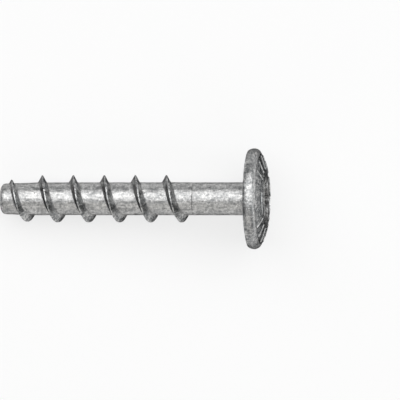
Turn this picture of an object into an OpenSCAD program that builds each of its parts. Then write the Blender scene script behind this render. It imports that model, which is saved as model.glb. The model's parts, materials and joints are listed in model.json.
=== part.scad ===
// Concrete screw: one cold-formed steel piece with a large pan head, a six-lobe drive recess
// and a coarse right-hand thread. It lies on its rim and one thread crest, as it comes to rest
// on a table, with the head towards +X and the origin under the middle of its outline.

/* [Shank] */
// Length from the bearing face under the head to the tip
length = 40; // [30:1:80]
// Diameter of the core and of the plain neck
core_d = 5.2; // [4.8:0.1:5.8]
// Radius of the fillet between the neck and the bearing face
neck_fillet = 0.4; // [0.2:0.1:0.8]
// Amount by which the core's diameter narrows towards the tip
tip_taper = 0.3; // [0.1:0.1:0.8]
// Length over which it narrows
taper_length = 6; // [3:0.5:10]
// Radius of the rounding at the end of the tip
tip_round = 0.7; // [0.5:0.1:1.8]
// Slope of the shallow cone across the end of the tip
tip_slope = 6; // [1:1:15]

/* [Thread] */
// Diameter over the thread crests
thread_d = 7.5; // [6.8:0.1:8.2]
// Distance along the axis from one turn to the next
thread_pitch = 5; // [4:0.25:6]
// Width of the flat on the crest
crest_w = 0.2; // [0.1:0.05:0.4]
// Angle between the two flanks
flank_angle = 54; // [40:2:64]
// Distance from the end of the tip to the start of the thread
thread_start = 0.5; // [0.4:0.1:2]
// Length of the plain neck between the bearing face and the end of the thread
neck_length = 9; // [6:0.5:15]
// Turns over which the thread grows to full height at the tip
lead_in_turns = 1.4; // [0.8:0.1:2]
// Turns over which the thread runs out at the neck
run_out_turns = 0.45; // [0.3:0.05:1]

/* [Head] */
// Diameter of the head at its rim
head_d = 15.9; // [13:0.1:20]
// Height of the head from the bearing face to the crown of its dome
head_height = 3.15; // [2.9:0.05:4.5]
// Height of the widest line of the rim above the bearing face
rim_height = 0.85; // [0.7:0.05:1.2]
// Radius of the rounded edge between the bearing face and the rim
under_round = 1.6; // [1.3:0.1:2.5]
// Radius of the rounded edge between the rim and the dome
rim_round = 1; // [0.8:0.1:1.2]
// Width of the rounded rim around the dome, seen from above
rim_w = 0.8; // [0.5:0.1:1]
// Height of the small step up from the rounded rim to the dome
dome_step = 0.05; // [0.02:0.01:0.15]

/* [Drive recess] */
// Diameter of the flat land sunk around the mouth of the recess
land_d = 7.1; // [6.9:0.1:8]
// Depth of the land below the edge of the dome around it
land_depth = 0.15; // [0.1:0.05:0.4]
// Size of the six-lobe recess across opposite lobes
lobes_across = 6.75; // [6.4:0.05:6.8]
// Size of the six-lobe recess across opposite flutes
flutes_across = 4.85; // [4.6:0.05:5]
// Radius of each lobe
lobe_r = 0.55; // [0.45:0.01:0.6]
// Depth of the recess walls below the land
drive_depth = 2; // [1.5:0.1:2.2]
// Width of the flat floor between the flutes and the pointed bottom
floor_w = 0.2; // [0.1:0.05:0.6]
// Depth of the pointed bottom below the floor
drive_point = 0.6; // [0.3:0.1:1]

/* [Hidden] */

// Straight steps along each rounded edge, along the dome and around the axis
ARC_STEPS = 8;
DOME_STEPS = 12;
ROUND_STEPS = 96;
// Stations along each turn of the thread
TURN_STEPS = 48;
FULL_TURN = 360;
LOBES = 6;
// How far the thread's ends sink below the core, so that the run-out fades into the neck
BURIED = 0.15;
// How far the thread's root reaches below the core's surface, so that the two are one solid
ROOT_OVERLAP = 0.45;
// How far a cutting shape stands out past the surface that it cuts
CUT_PAST = 1;

// Shank and thread
core_r = core_d / 2;
tip_r = (core_d - tip_taper) / 2;
root_r = core_r - ROOT_OVERLAP;
thread_h = (thread_d - core_d) / 2;
turns = (length - thread_start - neck_length) / thread_pitch;

// End of the tip: the rounding about this centre runs straight on into the shallow cone
tip_axis_r = tip_r - tip_round;
tip_axis_z = -length + (tip_axis_r * sin(tip_slope) + tip_round) / cos(tip_slope);

// Head section: radii from the axis and heights above the bearing face
under_axis_r = head_d / 2 - under_round;
rim_axis_r = head_d / 2 - rim_round;
dome_edge_r = head_d / 2 - rim_w;
rim_top_z = rim_height + sqrt(pow(rim_round, 2) - pow(dome_edge_r - rim_axis_r, 2));
dome_edge_z = rim_top_z + dome_step;
dome_rise = head_height - dome_edge_z;
dome_r = (pow(dome_edge_r, 2) + pow(dome_rise, 2)) / (2 * dome_rise);
dome_centre_z = head_height - dome_r;
land_edge_z = dome_centre_z + sqrt(pow(dome_r, 2) - pow(land_d / 2, 2));
land_z = land_edge_z - land_depth;

// Drive recess: each lobe circle touches the flute circles beside it
half_lobe = FULL_TURN / LOBES / 2;
lobe_axis_r = lobes_across / 2 - lobe_r;
flute_r = (pow(lobe_r, 2) - pow(lobe_axis_r, 2) - pow(flutes_across / 2, 2)
           + lobe_axis_r * flutes_across * cos(half_lobe))
          / (flutes_across - 2 * lobe_axis_r * cos(half_lobe) - 2 * lobe_r);
flute_axis_r = flutes_across / 2 + flute_r;
lobe_half = atan2(flute_axis_r * sin(half_lobe), flute_axis_r * cos(half_lobe) - lobe_axis_r);
flute_half = lobe_half - half_lobe;

// Rest pose: the table touches the rounded rim and the crest that leaves the smallest tilt
rest_tilt = min([for (turn = [1 : floor(turns)])
    tilt_on(rim_height - crest_z(turn) + crest_w / 2, crest_r(turn))]);
axis_lift = under_round + under_axis_r * cos(rest_tilt) - rim_height * sin(rest_tilt);
head_end_x = land_edge_z * cos(rest_tilt) + land_d / 2 * sin(rest_tilt);
tip_end_x = min(-length * cos(rest_tilt),
                tip_axis_z * cos(rest_tilt) - tip_axis_r * sin(rest_tilt) - tip_round);

// Tilt of the axis when the rim and a crest this far from it touch the table
function tilt_on(distance, r) = let (drop = under_axis_r - r)
    atan2(drop, distance) + asin(under_round / sqrt(pow(distance, 2) + pow(drop, 2)));

// Points of an arc about a centre, from one angle up to the other, which is left out
function arc(centre, r, from, to, steps) =
    [for (i = [0 : steps - 1]) let (a = from + (to - from) * i / steps) centre + r * [cos(a), sin(a)]];

// Share of full height, from 0 at an end of the thread to 1 after a number of turns
function grown(turn, over) = 1 - pow(1 - min(1, turn / over), 3);

// Radius of the crest, and its height above the bearing face, at a turn counted from the start
function crest_r(turn) = let (share = min(grown(turn, lead_in_turns), grown(turns - turn, run_out_turns)))
    core_r - BURIED + (thread_h + BURIED) * share;
function crest_z(turn) = thread_start - length + turn * thread_pitch;

// Section of the thread at one turn: root and crest on the tip's side, then on the head's
function thread_section(turn) = let (
        r = crest_r(turn),
        z = crest_z(turn),
        crest_half = crest_w / 2,
        root_half = crest_half + (r - root_r) * tan(flank_angle / 2))
    [[root_r, z - root_half], [r, z - crest_half], [r, z + crest_half], [root_r, z + root_half]];

// Half section of the solid without its thread: radius against height above the bearing face
function half_section() = concat(
    [[0, -length]],
    arc([tip_axis_r, tip_axis_z], tip_round, tip_slope - 90, 0, ARC_STEPS),
    [[tip_r, tip_axis_z], [core_r, taper_length - length]],
    arc([core_r + neck_fillet, -neck_fillet], neck_fillet, 180, 90, ARC_STEPS),
    [[core_r + neck_fillet, 0]],
    arc([under_axis_r, rim_height], under_round, -asin(rim_height / under_round), 0, ARC_STEPS),
    arc([rim_axis_r, rim_height], rim_round, 0, acos((dome_edge_r - rim_axis_r) / rim_round), ARC_STEPS),
    [[dome_edge_r, rim_top_z]],
    arc([0, dome_centre_z], dome_r, acos(dome_edge_r / dome_r), 90, DOME_STEPS),
    [[0, head_height]]);

// Outline of the six-lobe recess: each lobe, then the flute that follows it
function six_lobes() = [for (i = [0 : LOBES - 1]) let (
        lobe_at = 2 * half_lobe * i,
        flute_at = lobe_at + half_lobe)
    each concat(
        arc(lobe_axis_r * [cos(lobe_at), sin(lobe_at)], lobe_r,
            lobe_at - lobe_half, lobe_at + lobe_half, ARC_STEPS),
        arc(flute_axis_r * [cos(flute_at), sin(flute_at)], flute_r,
            flute_at + 180 + flute_half, flute_at + 180 - flute_half, ARC_STEPS))];

// Helical ridge: the thread's section carried round the axis, with closed ends
module thread() {
    corners = len(thread_section(0));
    stations = ceil(turns * TURN_STEPS);
    points = [for (i = [0 : stations]) let (turn = min(turns, i / TURN_STEPS), a = FULL_TURN * turn)
        for (p = thread_section(turn)) [p[0] * cos(a), p[0] * sin(a), p[1]]];
    sides = [for (i = [0 : stations - 1], k = [0 : corners - 1]) let (
            here = i * corners,
            next = here + corners,
            up = (k + 1) % corners)
        each [[here + k, here + up, next + up], [here + k, next + up, next + k]]];
    first = [for (k = [corners - 1 : -1 : 0]) k];
    last = [for (k = [0 : corners - 1]) stations * corners + k];
    polyhedron(points, concat(sides, [first, last]));
}

// Six-lobe recess with a pointed bottom, and the flat land around its mouth
module drive_recess() {
    translate([0, 0, land_z]) cylinder(h = land_depth + CUT_PAST, d = land_d, $fn = ROUND_STEPS);
    translate([0, 0, land_z - drive_depth]) {
        linear_extrude(drive_depth + CUT_PAST) polygon(six_lobes());
        translate([0, 0, -drive_point])
            cylinder(h = drive_point, r1 = 0, r2 = flutes_across / 2 - floor_w, $fn = ROUND_STEPS);
    }
}

// Lays the screw, built upright with its bearing face at height 0, down on the table
module lying()
    translate([-(head_end_x + tip_end_x) / 2, 0, axis_lift]) rotate([0, 90 - rest_tilt, 0]) children();

module concrete_screw() color([0.66, 0.66, 0.65]) lying() difference() {
    union() {
        // The seam of the turned solid is on top, away from the table
        rotate([0, 0, FULL_TURN / 2]) rotate_extrude($fn = ROUND_STEPS) polygon(half_section());
        thread();
    }
    drive_recess();
}

concrete_screw();
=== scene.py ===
import json
import math

import bmesh
import bpy
from mathutils import Matrix, Vector


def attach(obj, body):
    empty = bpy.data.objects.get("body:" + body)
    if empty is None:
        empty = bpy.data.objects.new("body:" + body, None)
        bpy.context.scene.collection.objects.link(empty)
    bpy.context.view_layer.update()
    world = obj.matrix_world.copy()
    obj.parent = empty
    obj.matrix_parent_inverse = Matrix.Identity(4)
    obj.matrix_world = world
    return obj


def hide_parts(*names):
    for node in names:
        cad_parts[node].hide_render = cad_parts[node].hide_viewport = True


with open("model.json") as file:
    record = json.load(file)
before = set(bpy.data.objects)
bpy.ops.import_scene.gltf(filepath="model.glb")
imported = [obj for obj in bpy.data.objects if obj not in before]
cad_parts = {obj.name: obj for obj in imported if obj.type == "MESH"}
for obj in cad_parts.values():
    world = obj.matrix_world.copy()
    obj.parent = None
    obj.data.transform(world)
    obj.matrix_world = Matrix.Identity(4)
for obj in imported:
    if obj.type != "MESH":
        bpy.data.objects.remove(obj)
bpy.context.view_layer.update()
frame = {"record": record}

# Screw
# The whole screw is one piece of steel wire: the head is pressed up, the thread is rolled on, and
# the finished part is zinc plated. One tree turns the outline of neck, head and recess about the
# axis, and lays a strip one pitch wide along the helix for the threaded shank and the tip.
mm = 0.001
length = 40 * mm
core_r = 2.6 * mm
tip_r = 2.45 * mm
taper_length = 6 * mm
tip_round = 0.7 * mm
tip_slope = math.radians(6)
neck_fillet = 0.4 * mm
thread_r = 3.75 * mm
pitch = 5 * mm
crest_w = 0.2 * mm
flank_angle = math.radians(54)
thread_start = 0.5 * mm
neck_length = 9 * mm
lead_in_turns = 1.4
run_out_turns = 0.45
ends_buried = 0.15 * mm
root_blend = 0.1 * mm
crest_blend = 0.08 * mm
head_r = 7.95 * mm
head_height = 3.15 * mm
rim_height = 0.85 * mm
under_round = 1.6 * mm
rim_round = 1 * mm
rim_w = 0.8 * mm
dome_step = 0.05 * mm
land_r = 3.55 * mm
land_depth = 0.15 * mm
lip_w = 0.4 * mm
lip_height = 0.04 * mm
lobes_r = 3.375 * mm
flutes_r = 2.425 * mm
lobe_round = 0.55 * mm
drive_depth = 2 * mm
drive_point = 0.6 * mm
floor_w = 0.2 * mm
mouth_chamfer = 0.1 * mm
small_edge = 0.05 * mm
bar_r = 4.7 * mm
tick_r = 5.8 * mm
mark_half_w = 0.17 * mm
mark_edge = 0.06 * mm
mark_height = 0.14 * mm
bar_half_length = 1.6 * mm
bar_angles = [math.radians(189), math.radians(25)]
tick_half_length = 1.0 * mm
tick_places = 18
tick_clearance = 0.9 * mm
scribed_at = -8.86 * mm
scribed_half_w = 0.09 * mm
scribed_depth = 0.06 * mm
steps_round = 240
steps_across = 28
tight_arc_steps = 6
wide_arc_steps = 10
neck_steps = 24
dome_steps = 56
point_steps = 10
merge_gap = 0.001 * mm

# The axis, from tip to head, and the middle of the bearing face come from the mounts in the frame
mounts = {mount["name"]: mount for mount in frame["record"]["mounts"]}
axis = Vector(mounts["drive_recess"]["axis"]).normalized()
bearing = Vector(mounts["bearing_face"]["pos_m"])
bearing.y = 0

turns = (length - thread_start - neck_length) / pitch
strip_end = scribed_at - scribed_half_w
tip_axis_r = tip_r - tip_round
tip_axis_z = (tip_axis_r * math.sin(tip_slope) + tip_round) / math.cos(tip_slope) - length
tip_bend = math.pi / 2 - tip_slope
tip_cone = (tip_axis_r + tip_round * math.sin(tip_slope)) / math.cos(tip_slope)
dome_edge_r = head_r - rim_w
rim_axis_r = head_r - rim_round
rim_top = rim_height + math.sqrt(rim_round ** 2 - (dome_edge_r - rim_axis_r) ** 2)
dome_rise = head_height - rim_top - dome_step
dome_r = (dome_edge_r ** 2 + dome_rise ** 2) / (2 * dome_rise)
dome_centre = head_height - dome_r
lobe_axis_r = lobes_r - lobe_round
half_lobe = math.pi / 6
lobe_step = lobe_axis_r * math.cos(half_lobe)
flute_round = ((lobe_round ** 2 - lobe_axis_r ** 2 - flutes_r ** 2 + 2 * flutes_r * lobe_step)
               / (2 * (flutes_r - lobe_step - lobe_round)))
flute_axis_r = flutes_r + flute_round
lobe_half = math.atan2(flute_axis_r * math.sin(half_lobe),
                       flute_axis_r * math.cos(half_lobe) - lobe_axis_r)
meeting_angle = math.atan2(lobe_round * math.sin(lobe_half),
                           lobe_axis_r + lobe_round * math.cos(lobe_half))

# Outline of neck, head and recess, from the end of the strip to the middle of the recess. Each of its
# points carries values round the axis: its share in the six-lobe shape and in the scribed line, and its
# finish: painted shade in creases and in the recess, broad painted shade over the head, bright wear, and
# smoothness where pressed.
# Painted shade darkens the scribed line, the fillet under the head, the foot of the dome, the land and
# the recess, deepest at its point. Broad painted shade darkens the underside, rim and dome of the head.
scribe_painted_shade = 0.9
fillet_painted_shade = 0.8
under_painted_shade = 0.4
rim_painted_shade = 0.3
rim_pressed = 0.25
rim_worn = 0.6
dome_foot_painted_shade = 0.8
dome_painted_shade = 0.57
dome_pressed = 1.0
lip_worn = 0.35
lip_less_shade = 0.3
land_painted_shade = 1.0
point_painted_shade = 0.45
point_pressed = 0.8
outline_points = []
outline_values = {name: [] for name in ("lobe_share", "scribed", "sheltered", "worn", "dull", "pressed")}


def trace(points, **values):
    """Carries the outline on through these points, given as radius and height."""
    for r, z in points:
        outline_points.append((r, 0, z))
        for name, column in outline_values.items():
            column.append(values.get(name, 0.0))


def arc(centre_r, centre_z, r, start, end, steps):
    """Points of an arc on the half section, both ends included."""
    angles = [start + (end - start) * i / steps for i in range(steps + 1)]
    return [(centre_r + r * math.cos(a), centre_z + r * math.sin(a)) for a in angles]


def dome_z(r):
    return dome_centre + math.sqrt(dome_r ** 2 - r ** 2)


land_z = dome_z(land_r) - land_depth
floor_z = land_z - drive_depth
neck_from = scribed_at + scribed_half_w
neck_run = -neck_fillet - neck_from
# The scribed line and the fillet under the head get painted shade
trace([(core_r, strip_end)])
trace([(core_r, scribed_at - scribed_half_w / 2)], scribed=0.5)
trace([(core_r, scribed_at)], scribed=1.0, sheltered=scribe_painted_shade)
trace([(core_r, scribed_at + scribed_half_w / 2)], scribed=0.5)
trace([(core_r, neck_from + neck_run * i / neck_steps) for i in range(neck_steps)])
fillet_arc = arc(core_r + neck_fillet, -neck_fillet, neck_fillet, math.pi, math.pi / 2, tight_arc_steps)
trace(fillet_arc, sheltered=fillet_painted_shade)
trace([(core_r + 3 * neck_fillet, 0)])
# Broad painted shade darkens the underside and the rim of the head
under_start = -math.asin(rim_height / under_round)
under_arc = arc(head_r - under_round, rim_height, under_round, under_start, 0, wide_arc_steps)
trace(under_arc, dull=under_painted_shade, pressed=rim_pressed)
rim_end = math.acos((dome_edge_r - rim_axis_r) / rim_round)
rim_arc = arc(rim_axis_r, rim_height, rim_round, 0, rim_end, wide_arc_steps)
for i in range(1, len(rim_arc)):
    trace([rim_arc[i]], worn=rim_worn * (i / wide_arc_steps) ** 4, dull=rim_painted_shade, pressed=rim_pressed)
# Broad painted shade darkens the dome, with less of it near the lip
dome_radii = [dome_edge_r + (land_r - dome_edge_r) * i / dome_steps for i in range(dome_steps + 1)]
trace([(dome_edge_r, dome_z(dome_edge_r))], sheltered=dome_foot_painted_shade, dull=dome_painted_shade,
      pressed=dome_pressed)
for r in dome_radii[1:]:
    lip_share = max(0.0, 1 - (r - land_r) / lip_w)
    trace([(r, dome_z(r) + lip_height * lip_share ** 2)], worn=lip_worn * lip_share,
          dull=dome_painted_shade - lip_less_shade * lip_share, pressed=dome_pressed)
# The land at the mouth of the recess, and the recess walls below it, get painted shade
trace([(land_r, land_z)], sheltered=land_painted_shade)
recess_rows = [
    (lobes_r + mouth_chamfer, land_z, 0.2),
    (lobes_r + mouth_chamfer / 3, land_z - mouth_chamfer / 3, 1.0),
    (lobes_r, land_z - mouth_chamfer, 0.6),
    (lobes_r, land_z - 3 * mouth_chamfer, 0.25),
    (lobes_r, floor_z + small_edge, 0.4),
    (lobes_r - small_edge, floor_z, 0.5),
]
for r, z, recess_shade in recess_rows:
    trace([(r, z)], lobe_share=1.0, sheltered=recess_shade)
# Painted shade, growing darker towards the point of the recess
point_r = flutes_r - floor_w
for i in range(point_steps + 1):
    inward = i / point_steps
    painted_shade_inward = point_painted_shade + (1 - point_painted_shade) * inward ** 2
    trace([(point_r * (1 - inward), floor_z - drive_point * inward)], sheltered=painted_shade_inward,
          pressed=point_pressed)
outline_mesh = bpy.data.meshes.new("screw_outline")
outline_mesh.from_pydata(outline_points, [], [])
for name, column in outline_values.items():
    outline_mesh.attributes.new(name, "FLOAT", "POINT").data.foreach_set("value", column)


def add_node(tree, kind, *values, **settings):
    """Adds a node with its settings, and gives its open sockets values or links in order."""
    node = tree.nodes.new(kind)
    for name, value in settings.items():
        setattr(node, name, value)
    sockets = [socket for socket in node.inputs if socket.enabled]
    for socket, value in zip(sockets, values):
        if isinstance(value, bpy.types.NodeSocket):
            tree.links.new(value, socket)
        elif value is not None:
            socket.default_value = value
    return node


def calc(tree, operation, *values):
    """Adds a Math node and returns its result."""
    return add_node(tree, "ShaderNodeMath", *values, operation=operation).outputs[0]


screw_tree = bpy.data.node_groups.new("rolled_screw", "GeometryNodeTree")
screw_sizes = {
    "Length": length,
    "Core Radius": core_r,
    "Tip Radius": tip_r,
    "Taper Length": taper_length,
    "Tip Round": tip_round,
    "Tip Round Start": tip_axis_z,
    "Tip Slope": tip_slope,
    "Tip Bend": tip_bend,
    "Tip Cone": tip_cone,
    "Thread Radius": thread_r,
    "Pitch": pitch,
    "Crest Width": crest_w,
    "Crest Blend": crest_blend,
    "Root Blend": root_blend,
    "Flank Angle": flank_angle,
    "Thread Start": thread_start,
    "Turns": turns,
    "Lead In": lead_in_turns,
    "Run Out": run_out_turns,
    "Ends Buried": ends_buried,
    "Strip End": strip_end,
    "Scribed Depth": scribed_depth,
    "Lobe Axis": lobe_axis_r,
    "Lobe Round": lobe_round,
    "Lobes Radius": lobes_r,
    "Flute Axis": flute_axis_r,
    "Flute Round": flute_round,
    "Meeting Angle": meeting_angle,
    "Dome Foot": rim_top,
    "Bar Radius": bar_r,
    "Tick Radius": tick_r,
    "Mark Half Width": mark_half_w,
    "Mark Edge": mark_edge,
    "Mark Height": mark_height,
    "Bar Half Length": bar_half_length,
    "Tick Half Length": tick_half_length,
    "Tick Clearance": tick_clearance,
    "Merge Gap": merge_gap,
    "Lying Turn": math.atan2(axis.x, axis.z),
}
screw_counts = {
    "Steps Round": steps_round,
    "Steps Across": steps_across,
    "Outline Rows": len(outline_points),
}
screw_tree.interface.new_socket("Outline", in_out="INPUT", socket_type="NodeSocketGeometry")
screw_tree.interface.new_socket("Mesh", in_out="OUTPUT", socket_type="NodeSocketGeometry")
input_kinds = {name: "NodeSocketFloat" for name in screw_sizes}
input_kinds.update({name: "NodeSocketInt" for name in screw_counts})
input_kinds.update({"Bearing Centre": "NodeSocketVector", "Material": "NodeSocketMaterial"})
screw_inputs = {}
for name, kind in input_kinds.items():
    screw_inputs[name] = screw_tree.interface.new_socket(name, in_out="INPUT", socket_type=kind)


def screw_node(kind, *values, **settings):
    return add_node(screw_tree, kind, *values, **settings)


def sum_up(operation, *values):
    return calc(screw_tree, operation, *values)


def ramp(value, low, high, to_low, to_high):
    """Carries a value smoothly from one range to another."""
    node = screw_node("ShaderNodeMapRange", value, low, high, to_low, to_high,
                      interpolation_type="SMOOTHSTEP")
    return node.outputs[0]


def marked(mesh, name, value):
    """Stores a value on the mesh for the plating to read."""
    store = screw_node("GeometryNodeStoreNamedAttribute", mesh, None, name, value, data_type="FLOAT")
    return store.outputs[0]


size = screw_tree.nodes.new("NodeGroupInput").outputs
index = screw_node("GeometryNodeInputIndex").outputs[0]
full_turn = 2 * math.pi

# Threaded shank: stations run along the helix and rows run across one pitch, with the crest in the
# middle, where they lie denser. Places past the tip's centre or past the neck are held there and merge.
early_turns = 2
late_turns = 1
strip_turns = early_turns + math.ceil(turns) + late_turns
row_bunching = 0.8
tip_centre_gap = 0.1 * mm
strip_rows = sum_up("ADD", size["Steps Across"], 1)
strip_stations = sum_up("MULTIPLY_ADD", size["Steps Round"], strip_turns, 1)
strip = screw_node("GeometryNodeMeshGrid", 1.0, 1.0, strip_stations, strip_rows).outputs["Mesh"]
station = sum_up("FLOOR", sum_up("DIVIDE", index, strip_rows))
strip_row = sum_up("SUBTRACT", index, sum_up("MULTIPLY", station, strip_rows))
turn = sum_up("SUBTRACT", sum_up("DIVIDE", station, size["Steps Round"]), early_turns)
strip_angle = sum_up("MULTIPLY", sum_up("FRACT", sum_up("ADD", turn, early_turns)), full_turn)
half_row = sum_up("DIVIDE", size["Steps Across"], 2)
across = sum_up("SUBTRACT", sum_up("DIVIDE", strip_row, half_row), 1)
denser = sum_up("MULTIPLY", across, sum_up("POWER", sum_up("ABSOLUTE", across), row_bunching))
first_crest = sum_up("SUBTRACT", size["Thread Start"], size["Length"])
crest_along = sum_up("MULTIPLY_ADD", turn, size["Pitch"], first_crest)
free_along = sum_up("MULTIPLY_ADD", denser, sum_up("DIVIDE", size["Pitch"], 2), crest_along)
round_start = size["Tip Round Start"]
round_length = sum_up("MULTIPLY", size["Tip Round"], size["Tip Bend"])
tip_centre = sum_up("SUBTRACT", round_start, sum_up("ADD", round_length, size["Tip Cone"]))
held_along = sum_up("MAXIMUM", sum_up("MINIMUM", free_along, size["Strip End"]), tip_centre)
past_centre = sum_up("SUBTRACT", held_along, tip_centre)
clear_of_centre = sum_up("GREATER_THAN", past_centre, tip_centre_gap)
along = sum_up("MULTIPLY_ADD", past_centre, clear_of_centre, tip_centre)

# Core under the thread: plain, then tapered, then rounded over to the shallow cone across the tip
taper_top = sum_up("SUBTRACT", size["Taper Length"], size["Length"])
tapered = screw_node("ShaderNodeMapRange", along, round_start, taper_top,
                     size["Tip Radius"], size["Core Radius"])
past_round = sum_up("MAXIMUM", sum_up("SUBTRACT", round_start, along), 0)
bend = sum_up("MINIMUM", sum_up("DIVIDE", past_round, size["Tip Round"]), size["Tip Bend"])
bend_in = sum_up("MULTIPLY", size["Tip Round"], sum_up("SUBTRACT", 1, sum_up("COSINE", bend)))
bend_down = sum_up("MULTIPLY", size["Tip Round"], sum_up("SINE", bend))
cone_run = sum_up("MAXIMUM", sum_up("SUBTRACT", past_round, round_length), 0)
cone_in = sum_up("MULTIPLY", cone_run, sum_up("COSINE", size["Tip Slope"]))
cone_down = sum_up("MULTIPLY", cone_run, sum_up("SINE", size["Tip Slope"]))
core_here = sum_up("SUBTRACT", tapered.outputs[0], sum_up("ADD", bend_in, cone_in))
strip_z = sum_up("SUBTRACT", sum_up("MAXIMUM", along, round_start), sum_up("ADD", bend_down, cone_down))


def grown(turn_count, over):
    """Share of full height, from 0 at an end of the thread to 1 after a number of turns."""
    left = sum_up("SUBTRACT", 1, sum_up("MINIMUM", sum_up("DIVIDE", turn_count, over), 1))
    return sum_up("SUBTRACT", 1, sum_up("POWER", left, 3))


def along_thread(scale, rough):
    """Unevenness that changes along the turns of the thread."""
    noise = screw_node("ShaderNodeTexNoise", turn, scale, 2.0, rough, noise_dimensions="1D")
    return noise.outputs[0]


# Thread: a ridge with a narrow crest with slight wear, blended into the core at its root, where painted
# shade darkens it. The crest is bright from wear in places and nicked dark in others. The flanks are
# smooth and carry painted shade, and the one on the tip's side has a painted highlight that makes it a
# little brighter.
start_fall = 15 * mm
wear_depth = 0.07 * mm
unworn_level = 0.62
nick_from = 0.5
nick_full = 0.62
nick_reach = 0.35 * mm
rub_from = 0.45
rub_reach = 0.12 * mm
rub_most = 0.6
root_shade_reach = 0.3 * mm
root_painted_shade = 0.3
flank_foot = 0.05 * mm
flank_full = 0.4 * mm
flank_highlight = 0.4
flank_painted_shade = 0.5
crest_reach = 0.15 * mm
crest_shade_share = 0.8
flank_pressed = 0.7
tip_side_rougher = -0.5
started = sum_up("MAXIMUM", turn, 0)
unfinished = sum_up("MAXIMUM", sum_up("SUBTRACT", size["Turns"], turn), 0)
grown_share = sum_up("MINIMUM", grown(started, size["Lead In"]), grown(unfinished, size["Run Out"]))
start_drop = sum_up("MULTIPLY", sum_up("MINIMUM", turn, 0), start_fall)
lowest_crest = sum_up("SUBTRACT", size["Core Radius"], size["Ends Buried"])
crest_rise = sum_up("SUBTRACT", size["Thread Radius"], lowest_crest)
crest_r = sum_up("ADD", sum_up("MULTIPLY_ADD", crest_rise, grown_share, lowest_crest), start_drop)
rolled = along_thread(scale=9.0, rough=0.5)
crest_wear = sum_up("MULTIPLY", sum_up("SUBTRACT", rolled, unworn_level), wear_depth)
crest_r = sum_up("ADD", crest_r, sum_up("MULTIPLY", crest_wear, grown_share))
off_middle = sum_up("ABSOLUTE", sum_up("SUBTRACT", along, crest_along))
off_crest = sum_up("SUBTRACT", off_middle, sum_up("DIVIDE", size["Crest Width"], 2))
flank_run = sum_up("TANGENT", sum_up("DIVIDE", size["Flank Angle"], 2))
flank_r = sum_up("SUBTRACT", crest_r, sum_up("DIVIDE", off_crest, flank_run))
ridge_r = sum_up("SMOOTH_MIN", crest_r, flank_r, size["Crest Blend"])
strip_r = sum_up("SMOOTH_MAX", core_here, ridge_r, size["Root Blend"])
strip_r = sum_up("MULTIPLY", strip_r, clear_of_centre)
strip_x = sum_up("MULTIPLY", strip_r, sum_up("COSINE", strip_angle))
strip_y = sum_up("MULTIPLY", strip_r, sum_up("SINE", strip_angle))
strip_place = screw_node("ShaderNodeCombineXYZ", strip_x, strip_y, strip_z).outputs[0]
shank = screw_node("GeometryNodeSetPosition", strip, None, strip_place).outputs[0]
off_root = sum_up("ABSOLUTE", sum_up("SUBTRACT", ridge_r, core_here))
nicks = ramp(along_thread(scale=48.0, rough=0.6), nick_from, nick_full, 0.0, 1.0)
nicked = sum_up("MULTIPLY", ramp(off_crest, 0.0, nick_reach, 1.0, 0.0), nicks)
nicked = sum_up("MULTIPLY", nicked, grown_share)
# Painted shade along the root of the thread, kept with the dark nicks of the crest
root_shade = ramp(off_root, 0.0, root_shade_reach, root_painted_shade, 0.0)
shank = marked(shank, "sheltered", sum_up("MAXIMUM", nicked, root_shade))
crest_rubbed = sum_up("MULTIPLY", grown_share, ramp(rolled, rub_from, unworn_level, 0.0, rub_most))
crest_worn = sum_up("MULTIPLY", ramp(off_crest, 0.0, rub_reach, 1.0, 0.0), crest_rubbed)
# Painted highlight on the flank on the tip's side, kept with the wear of the crest
tip_side = sum_up("LESS_THAN", along, crest_along)
flank_height = sum_up("SUBTRACT", strip_r, core_here)
flank_painted_highlight = sum_up("MULTIPLY", tip_side, ramp(flank_height, flank_foot, flank_full, 0.0, flank_highlight))
shank = marked(shank, "worn", sum_up("MAXIMUM", crest_worn, flank_painted_highlight))
# Painted shade on the flanks, rising from the root, a little less at the crest
off_core = ramp(flank_height, 0.0, flank_full, 0.0, flank_painted_shade)
below_crest = ramp(off_crest, 0.0, crest_reach, crest_shade_share, 1.0)
shank = marked(shank, "dull", sum_up("MULTIPLY", off_core, below_crest))
side_share = sum_up("MULTIPLY_ADD", tip_side, tip_side_rougher, 1)
flank_smooth = ramp(flank_height, 0.0, flank_full, 0.0, flank_pressed)
shank = marked(shank, "pressed", sum_up("MULTIPLY", side_share, flank_smooth))

# Neck, head and recess: each point of the outline becomes a ring, and rings with a lobe share of 1
# follow the six-lobe outline. The scribed line fades out here and there around the neck.
scribe_scale = 2.5
scribe_from = 0.36
scribe_full = 0.56
ring_steps = sum_up("ADD", size["Steps Round"], 1)
turned = screw_node("GeometryNodeMeshGrid", 1.0, 1.0, ring_steps, size["Outline Rows"])
step = sum_up("FLOOR", sum_up("DIVIDE", index, size["Outline Rows"]))
ring = sum_up("SUBTRACT", index, sum_up("MULTIPLY", step, size["Outline Rows"]))
ring_angle = sum_up("MULTIPLY", sum_up("DIVIDE", step, size["Steps Round"]), full_turn)
place_field = screw_node("GeometryNodeInputPosition").outputs[0]


def ring_sample(field, kind):
    """What a field holds at the outline's point for this ring."""
    return screw_node("GeometryNodeSampleIndex", size["Outline"], field, ring, data_type=kind).outputs[0]


ring_part = screw_node("ShaderNodeSeparateXYZ", ring_sample(place_field, "FLOAT_VECTOR")).outputs


def ring_value(name):
    """Value that the outline carries at this ring."""
    field = screw_node("GeometryNodeInputNamedAttribute", name, data_type="FLOAT").outputs[0]
    return ring_sample(field, "FLOAT")


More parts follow.
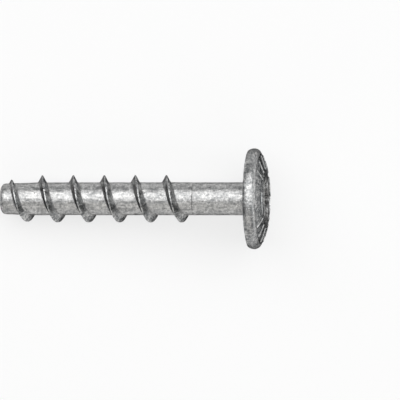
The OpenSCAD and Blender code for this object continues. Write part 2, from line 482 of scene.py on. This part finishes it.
def far_side(axis_r, circle_r, angle, sign):
    """Distance from the screw's axis to a circle at axis_r, along a direction at an angle to it."""
    offset = sum_up("MULTIPLY", axis_r, sum_up("SINE", angle))
    circle_square = sum_up("MULTIPLY", circle_r, circle_r)
    inside = sum_up("SUBTRACT", circle_square, sum_up("MULTIPLY", offset, offset))
    reach = sum_up("MULTIPLY", sum_up("SQRT", sum_up("MAXIMUM", inside, 0)), sign)
    return sum_up("MULTIPLY_ADD", axis_r, sum_up("COSINE", angle), reach)


lobe_angle = sum_up("PINGPONG", ring_angle, half_lobe)
flute_angle = sum_up("SUBTRACT", half_lobe, lobe_angle)
in_lobe = sum_up("LESS_THAN", lobe_angle, size["Meeting Angle"])
lobe_r = far_side(size["Lobe Axis"], size["Lobe Round"], lobe_angle, 1)
flute_r = far_side(size["Flute Axis"], size["Flute Round"], flute_angle, -1)
six_lobe_r = screw_node("ShaderNodeMix", in_lobe, flute_r, lobe_r, data_type="FLOAT").outputs[0]
short_of_lobe = sum_up("SUBTRACT", size["Lobes Radius"], six_lobe_r)
lobed_r = sum_up("SUBTRACT", ring_part["X"], sum_up("MULTIPLY", ring_value("lobe_share"), short_of_lobe))
ring_cos = sum_up("COSINE", ring_angle)
ring_sin = sum_up("SINE", ring_angle)
around = screw_node("ShaderNodeCombineXYZ", ring_cos, ring_sin, 0.0).outputs[0]
scribing = screw_node("ShaderNodeTexNoise", around, scribe_scale, 2.0, 0.6).outputs[0]
scribed_here = ramp(scribing, scribe_from, scribe_full, 0.0, 1.0)
scribed_in = sum_up("MULTIPLY", size["Scribed Depth"], scribed_here)
ring_r = sum_up("SUBTRACT", lobed_r, sum_up("MULTIPLY", ring_value("scribed"), scribed_in))

# Marks on the dome, pressed with the head: two plain raised arcs, and short plain ticks further out that
# leave room around the arcs. They are bright from wear, with a line of painted shade along the foot.
past_reach = 10 * mm
foot_shade_reach = 0.2 * mm
mark_worn = 0.7
off_ticks = sum_up("ABSOLUTE", sum_up("SUBTRACT", ring_r, size["Tick Radius"]))
past_tick = sum_up("MAXIMUM", sum_up("SUBTRACT", off_ticks, size["Tick Half Length"]), 0)
off_tick = sum_up("MULTIPLY", sum_up("PINGPONG", ring_angle, math.pi / tick_places), size["Tick Radius"])
off_mark = sum_up("SQRT", sum_up("ADD", sum_up("POWER", past_tick, 2), sum_up("POWER", off_tick, 2)))
kept_clear = sum_up("ADD", size["Bar Half Length"], size["Tick Clearance"])
off_bars = sum_up("ABSOLUTE", sum_up("SUBTRACT", ring_r, size["Bar Radius"]))
for bar_angle in bar_angles:
    turned_off = sum_up("WRAP", sum_up("SUBTRACT", ring_angle, bar_angle), math.pi, -math.pi)
    arc_off = sum_up("MULTIPLY", sum_up("ABSOLUTE", turned_off), size["Bar Radius"])
    past_end = sum_up("MAXIMUM", sum_up("SUBTRACT", arc_off, size["Bar Half Length"]), 0)
    off_bar = sum_up("SQRT", sum_up("ADD", sum_up("POWER", past_end, 2), sum_up("POWER", off_bars, 2)))
    beside_bar = sum_up("MULTIPLY", sum_up("LESS_THAN", arc_off, kept_clear), past_reach)
    off_mark = sum_up("MINIMUM", sum_up("ADD", off_mark, beside_bar), off_bar)
mark_top = sum_up("SUBTRACT", size["Mark Half Width"], size["Mark Edge"])
mark_foot = sum_up("ADD", size["Mark Half Width"], size["Mark Edge"])
on_dome = sum_up("GREATER_THAN", ring_part["Z"], size["Dome Foot"])
mark_share = sum_up("MULTIPLY", ramp(off_mark, mark_top, mark_foot, 1.0, 0.0), on_dome)
# Painted shade: a dark line along the foot of each mark
off_foot = sum_up("ABSOLUTE", sum_up("SUBTRACT", off_mark, mark_foot))
foot_painted_shade = sum_up("MULTIPLY", ramp(off_foot, 0.0, foot_shade_reach, 1.0, 0.0), on_dome)
ring_z = sum_up("MULTIPLY_ADD", mark_share, size["Mark Height"], ring_part["Z"])
ring_x = sum_up("MULTIPLY", ring_r, ring_cos)
ring_y = sum_up("MULTIPLY", ring_r, ring_sin)
ring_point = screw_node("ShaderNodeCombineXYZ", ring_x, ring_y, ring_z).outputs[0]
head = screw_node("GeometryNodeSetPosition", turned.outputs["Mesh"], None, ring_point).outputs[0]
head = marked(head, "sheltered", sum_up("MAXIMUM", ring_value("sheltered"), foot_painted_shade))
mark_rubbed = sum_up("MULTIPLY", mark_share, mark_worn)
head = marked(head, "worn", sum_up("MAXIMUM", ring_value("worn"), mark_rubbed))
head = marked(head, "dull", ring_value("dull"))
head = marked(head, "pressed", ring_value("pressed"))

# Whole screw: joined into one closed skin, made slightly uneven as pressed and rolled steel is, and
# laid down. Shading is smooth but for the pressed edges.
fine_and_broad = ((0.03 * mm, 1300.0), (0.04 * mm, 160.0))
noise_middle = (0.5, 0.5, 0.5)
sharp_fold = math.radians(38)
joined = screw_node("GeometryNodeJoinGeometry")
for part in (head, shank):
    screw_tree.links.new(part, joined.inputs[0])
merged = screw_node("GeometryNodeMergeByDistance", joined.outputs[0], None, size["Merge Gap"])
skin_mesh = merged.outputs[0]
for unevenness, scale in fine_and_broad:
    uneven = screw_node("ShaderNodeTexNoise", place_field, scale, 1.0).outputs["Color"]
    centred = screw_node("ShaderNodeVectorMath", uneven, noise_middle, operation="SUBTRACT")
    swing = (2 * unevenness, 2 * unevenness, 2 * unevenness)
    offset = screw_node("ShaderNodeVectorMath", centred.outputs[0], swing, operation="MULTIPLY")
    moved = screw_node("GeometryNodeSetPosition", skin_mesh, None, None, offset.outputs[0])
    skin_mesh = moved.outputs[0]
fold = screw_node("GeometryNodeInputMeshEdgeAngle").outputs["Unsigned Angle"]
pressed_edge = sum_up("GREATER_THAN", fold, sharp_fold)
smooth = screw_node("GeometryNodeSetShadeSmooth", skin_mesh, None, True, domain="FACE").outputs[0]
edged = screw_node("GeometryNodeSetShadeSmooth", smooth, pressed_edge, False, domain="EDGE").outputs[0]
laid_turn = screw_node("ShaderNodeCombineXYZ", 0.0, size["Lying Turn"], 0.0).outputs[0]
laid = screw_node("GeometryNodeTransform", edged, size["Bearing Centre"], laid_turn).outputs[0]
real = screw_node("GeometryNodeRealizeInstances", laid).outputs[0]
finished = screw_node("GeometryNodeSetMaterial", real, None, size["Material"]).outputs[0]
screw_tree.links.new(finished, screw_node("NodeGroupOutput").inputs[0])

# Zinc plating: a thin metal coat, mottled and patchy, with streaks along the drawn shank, small dark
# pits and bright flecks. It has painted shade in creases, in the recess and in patches over the head and
# the flanks of the thread. It is bright where it rubs, with a painted highlight on the tip-side flanks,
# and smoother where the steel was pressed.
zinc = bpy.data.materials.new("zinc_plating")
zinc.use_nodes = True
zinc_tree = zinc.node_tree
zinc_tree.nodes.clear()
zinc_place = add_node(zinc_tree, "ShaderNodeTexCoord").outputs["Object"]
drawn_turn = (0, -math.asin(axis.z), 0)
drawn_stretch = (7.0, 1.0, 1.0)
drawn_place = add_node(zinc_tree, "ShaderNodeMapping", zinc_place, None, drawn_turn, drawn_stretch,
                       vector_type="TEXTURE").outputs[0]


def zinc_calc(operation, *values):
    return calc(zinc_tree, operation, *values)


def add_noise(tree, place, scale, detail, rough):
    """Adds a Noise node and returns its value."""
    return add_node(tree, "ShaderNodeTexNoise", place, scale, detail, rough).outputs[0]


def zinc_range(value, low, high, to_low, to_high):
    return add_node(zinc_tree, "ShaderNodeMapRange", value, low, high, to_low, to_high).outputs[0]


def zinc_spots(scale, reach, share):
    """Small round spots, one in some of the cells of a scattered pattern."""
    solid_share = 0.3
    cells = add_node(zinc_tree, "ShaderNodeTexVoronoi", zinc_place, scale)
    spot = zinc_range(cells.outputs["Distance"], solid_share * reach, reach, 1.0, 0.0)
    draw = add_node(zinc_tree, "ShaderNodeSeparateXYZ", cells.outputs["Color"]).outputs[0]
    chosen = zinc_calc("LESS_THAN", draw, share)
    return zinc_calc("MULTIPLY", spot, chosen)


def add_mix(tree, share, low, high, blend="MIX"):
    """Adds a colour Mix node and returns its result."""
    node = add_node(tree, "ShaderNodeMix", share, low, high, data_type="RGBA", blend_type=blend)
    return [socket for socket in node.outputs if socket.enabled][0]


def cover(colour_below, colour, spread, share):
    """Lays a colour over another where it is spread, at a share of its strength."""
    return add_mix(zinc_tree, zinc_calc("MULTIPLY", spread, share), colour_below, colour)


def zinc_mark(name):
    return add_node(zinc_tree, "ShaderNodeAttribute", attribute_name=name).outputs["Fac"]


zinc_dull = (0.305, 0.308, 0.31, 1.0)
zinc_pale = (0.725, 0.72, 0.71, 1.0)
pit_and_shade_colour = (0.10, 0.10, 0.10, 1.0)
painted_shade_colour = (0.095, 0.108, 0.118, 1.0)
fleck_wear_highlight_colour = (0.88, 0.88, 0.87, 1.0)
zinc_edge = (0.05, 0.05, 0.052, 1.0)
patch_weight = 0.35
mottle_weight = 0.45
streak_weight = 0.2
tone_low = 0.41
tone_high = 0.59
mottle_low = 0.4
mottle_high = 0.6
most_shade_patch = 0.97
least_shade_patch = 0.33
least_wear_and_highlight = 0.4
grain_low = 0.35
grain_high = 0.65
speckle_least = 0.22
speckle_more = 0.45
pit_cover = 0.75
fleck_cover = 0.5
crease_shade_cover = 0.75
grain_matt = 0.4
matt_low = 0.4
matt_high = 1.0
least_matt = 0.3
most_matt = 0.46
worn_polish = 0.06
pressed_polish = 0.15
mottle_relief = 0.7
grain_relief = 0.2
pit_relief = 0.2
worn_relief = 0.4
pressed_relief = 0.3
bump_strength = 1.0
bump_depth = 0.11 * mm
patches = add_noise(zinc_tree, zinc_place, scale=900.0, detail=3.0, rough=0.6)
mottle = add_noise(zinc_tree, zinc_place, scale=2600.0, detail=3.0, rough=0.65)
grain = add_noise(zinc_tree, zinc_place, scale=8000.0, detail=2.0, rough=0.5)
streaks = add_noise(zinc_tree, drawn_place, scale=3500.0, detail=2.0, rough=0.6)
pits = zinc_spots(scale=1500.0, reach=0.22, share=0.5)
flecks = zinc_spots(scale=1900.0, reach=0.2, share=0.3)
sheltered = zinc_mark("sheltered")
worn = zinc_mark("worn")
dull = zinc_mark("dull")
pressed = zinc_mark("pressed")

# Its colour, from the broad tone to the fine speckle
streak_tone = zinc_calc("MULTIPLY", streaks, streak_weight)
broad_tone = zinc_calc("MULTIPLY_ADD", patches, patch_weight, streak_tone)
whole_tone = zinc_calc("MULTIPLY_ADD", mottle, mottle_weight, broad_tone)
tone = zinc_range(whole_tone, tone_low, tone_high, 0.0, 1.0)
painted_shade_patches = zinc_range(mottle, mottle_low, mottle_high, most_shade_patch, least_shade_patch)
wear_and_highlight_patches = zinc_range(mottle, mottle_low, mottle_high, least_wear_and_highlight, 1.0)
shade = add_mix(zinc_tree, tone, zinc_dull, zinc_pale)
shade = cover(shade, pit_and_shade_colour, pits, pit_cover)
shade = cover(shade, fleck_wear_highlight_colour, flecks, fleck_cover)
# Painted shade in creases, in the recess and along the thread's root, with dark nicks on the crest
shade = cover(shade, pit_and_shade_colour, sheltered, crease_shade_cover)
# Broad painted shade, in patches, over the head and the flanks of the thread
shade = cover(shade, painted_shade_colour, painted_shade_patches, dull)
# Bright wear, and a painted highlight on the tip-side flanks
shade = cover(shade, fleck_wear_highlight_colour, worn, wear_and_highlight_patches)
speckle_depth = zinc_calc("MULTIPLY_ADD", dull, speckle_more, speckle_least)
speckle = zinc_range(grain, grain_low, grain_high, -1.0, 1.0)
speckle = zinc_calc("MULTIPLY_ADD", speckle, speckle_depth, 1.0)
shade = add_mix(zinc_tree, 1.0, shade, speckle, blend="MULTIPLY")

# Its roughness and relief, both lower where there is wear and where the tip-side flanks carry their
# painted highlight, and where it is pressed
uneven_matt = zinc_calc("MULTIPLY_ADD", grain, grain_matt, patches)
matt = zinc_range(uneven_matt, matt_low, matt_high, least_matt, most_matt)
matt = zinc_calc("SUBTRACT", matt, zinc_calc("MULTIPLY", worn, worn_polish))
matt = zinc_calc("SUBTRACT", matt, zinc_calc("MULTIPLY", pressed, pressed_polish))
relief = zinc_calc("MULTIPLY_ADD", mottle, mottle_relief, zinc_calc("MULTIPLY", grain, grain_relief))
relief = zinc_calc("SUBTRACT", relief, zinc_calc("MULTIPLY", pits, pit_relief))
relief = zinc_calc("MULTIPLY", relief, zinc_range(worn, 0.0, 1.0, 1.0, worn_relief))
relief = zinc_calc("MULTIPLY", relief, zinc_range(pressed, 0.0, 1.0, 1.0, pressed_relief))
bump = add_node(zinc_tree, "ShaderNodeBump", bump_strength, bump_depth)
zinc_tree.links.new(relief, bump.inputs["Height"])
plating = add_node(zinc_tree, "ShaderNodeBsdfPrincipled")
plating.inputs["Metallic"].default_value = 1.0
plating.inputs["Specular Tint"].default_value = zinc_edge
zinc_tree.links.new(shade, plating.inputs["Base Color"])
zinc_tree.links.new(matt, plating.inputs["Roughness"])
zinc_tree.links.new(bump.outputs[0], plating.inputs["Normal"])
add_node(zinc_tree, "ShaderNodeOutputMaterial", plating.outputs[0])

# The tree runs on the outline, and its result is kept as a plain mesh whose faces point outwards
screw = bpy.data.objects.new("screw", outline_mesh)
bpy.context.scene.collection.objects.link(screw)
rolling = screw.modifiers.new("rolled_screw", "NODES")
rolling.node_group = screw_tree
screw_values = {**screw_sizes, **screw_counts, "Bearing Centre": bearing, "Material": zinc}
for name, value in screw_values.items():
    rolling[screw_inputs[name].identifier] = value
bpy.context.view_layer.update()
evaluated = screw.evaluated_get(bpy.context.evaluated_depsgraph_get())
screw_mesh = bpy.data.meshes.new_from_object(evaluated)
screw.modifiers.remove(rolling)
screw.data = screw_mesh
bpy.data.meshes.remove(outline_mesh)
skin = bmesh.new()
skin.from_mesh(screw_mesh)
bmesh.ops.recalc_face_normals(skin, faces=skin.faces)
skin.to_mesh(screw_mesh)
skin.free()
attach(screw, "root")
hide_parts("concrete_screw")

# Floor
# A plain white card on the table, large enough to fill every view. It is matt, with the faint grain of
# paper. The camera and reflections see it mostly as plain white, and it keeps the screw's soft shadow.
half_floor = 1.5
card_low = (0.83, 0.83, 0.825, 1)
card_high = (0.85, 0.85, 0.845, 1)
card_matt = 0.9
card_gloss = 0.1
plain_white = (1, 1, 1, 1)
white_share = 0.7
floor_mesh = bpy.data.meshes.new("floor")
floor_corners = [(-half_floor, -half_floor, 0), (half_floor, -half_floor, 0),
                 (half_floor, half_floor, 0), (-half_floor, half_floor, 0)]
floor_mesh.from_pydata(floor_corners, [], [(0, 1, 2, 3)])
floor = bpy.data.objects.new("floor", floor_mesh)
bpy.context.scene.collection.objects.link(floor)
card = bpy.data.materials.new("white_card")
card.use_nodes = True
card_tree = card.node_tree
card_place = add_node(card_tree, "ShaderNodeTexCoord").outputs["Object"]
fibres = add_noise(card_tree, card_place, scale=900.0, detail=3.0, rough=0.6)
card_face = card_tree.nodes["Principled BSDF"]
card_tree.links.new(add_mix(card_tree, fibres, card_low, card_high), card_face.inputs["Base Color"])
card_face.inputs["Roughness"].default_value = card_matt
card_face.inputs["Specular IOR Level"].default_value = card_gloss
seen = add_node(card_tree, "ShaderNodeLightPath").outputs
seen_mirrored = calc(card_tree, "MAXIMUM", seen["Is Glossy Ray"], seen["Is Transmission Ray"])
seen_at_all = calc(card_tree, "MAXIMUM", seen["Is Camera Ray"], seen_mirrored)
white_here = calc(card_tree, "MULTIPLY", seen_at_all, white_share)
white_face = add_node(card_tree, "ShaderNodeEmission", plain_white, 1.0).outputs[0]
card_shown = add_node(card_tree, "ShaderNodeMixShader", white_here, card_face.outputs[0], white_face)
card_tree.links.new(card_shown.outputs[0], card_tree.nodes["Material Output"].inputs[0])
floor_mesh.materials.append(card)

# Light
# A wide softbox overhead, towards the top of the picture, is the key. A weaker panel below the picture
# fills the near side, and another beyond the head lights its face. The room gives a dim, even light.
room_light = (0.1, 0.105, 0.11, 1)
world = bpy.data.worlds.new("studio")
world.use_nodes = True
world.node_tree.nodes["Background"].inputs[0].default_value = room_light
bpy.context.scene.world = world


def add_softbox(name, place, aim, width, height, glow, colour):
    """Adds a rectangular lamp that faces a point, with the brightness that its face shows."""
    lamp = bpy.data.lights.new(name, "AREA")
    lamp.shape = "RECTANGLE"
    lamp.size = width
    lamp.size_y = height
    lamp.energy = glow * math.pi * width * height
    lamp.color = colour
    softbox = bpy.data.objects.new(name, lamp)
    softbox.location = place
    softbox.rotation_euler = (Vector(aim) - Vector(place)).to_track_quat("-Z", "Y").to_euler()
    bpy.context.scene.collection.objects.link(softbox)


add_softbox("key_softbox", place=(0.15, 0.26, 0.6), aim=(0.15, 0.0, 0.0), width=1.7, height=0.84,
            glow=1.9, colour=(1.0, 1.0, 1.0))
add_softbox("fill_panel", place=(0.0, -0.5, 0.36), aim=(0.0, 0.0, 0.0), width=0.9, height=0.5,
            glow=0.88, colour=(1.0, 0.98, 0.945))
add_softbox("side_panel", place=(0.9, 0.05, 0.3), aim=(0.0, 0.0, 0.0), width=0.7, height=0.5,
            glow=1.1, colour=(0.96, 0.99, 1.0))

# Camera
# It looks almost straight down on the table from some distance, so the screw shows square to its shank,
# with the tip at the left edge of the picture.
view_width = 63.2 * mm
view_distance = 550 * mm
view_lean = math.radians(2.15)
aim_along = -7.87 * mm
aim_below = 0.19 * mm
lens_data = bpy.data.cameras.new("camera")
lens_data.lens = lens_data.sensor_width * view_distance / view_width
lens_data.clip_start = 0.01
camera = bpy.data.objects.new("camera", lens_data)
bpy.context.scene.collection.objects.link(camera)
aim = bearing + axis * aim_along - Vector((0, aim_below, 0))
towards = Vector((math.sin(view_lean), 0, math.cos(view_lean)))
right = Vector((0, 1, 0)).cross(towards)
camera.matrix_world = Matrix((right, (0, 1, 0), towards)).transposed().to_4x4()
camera.location = aim + towards * view_distance
bpy.context.scene.camera = camera
bpy.context.scene.view_settings.view_transform = "Standard"
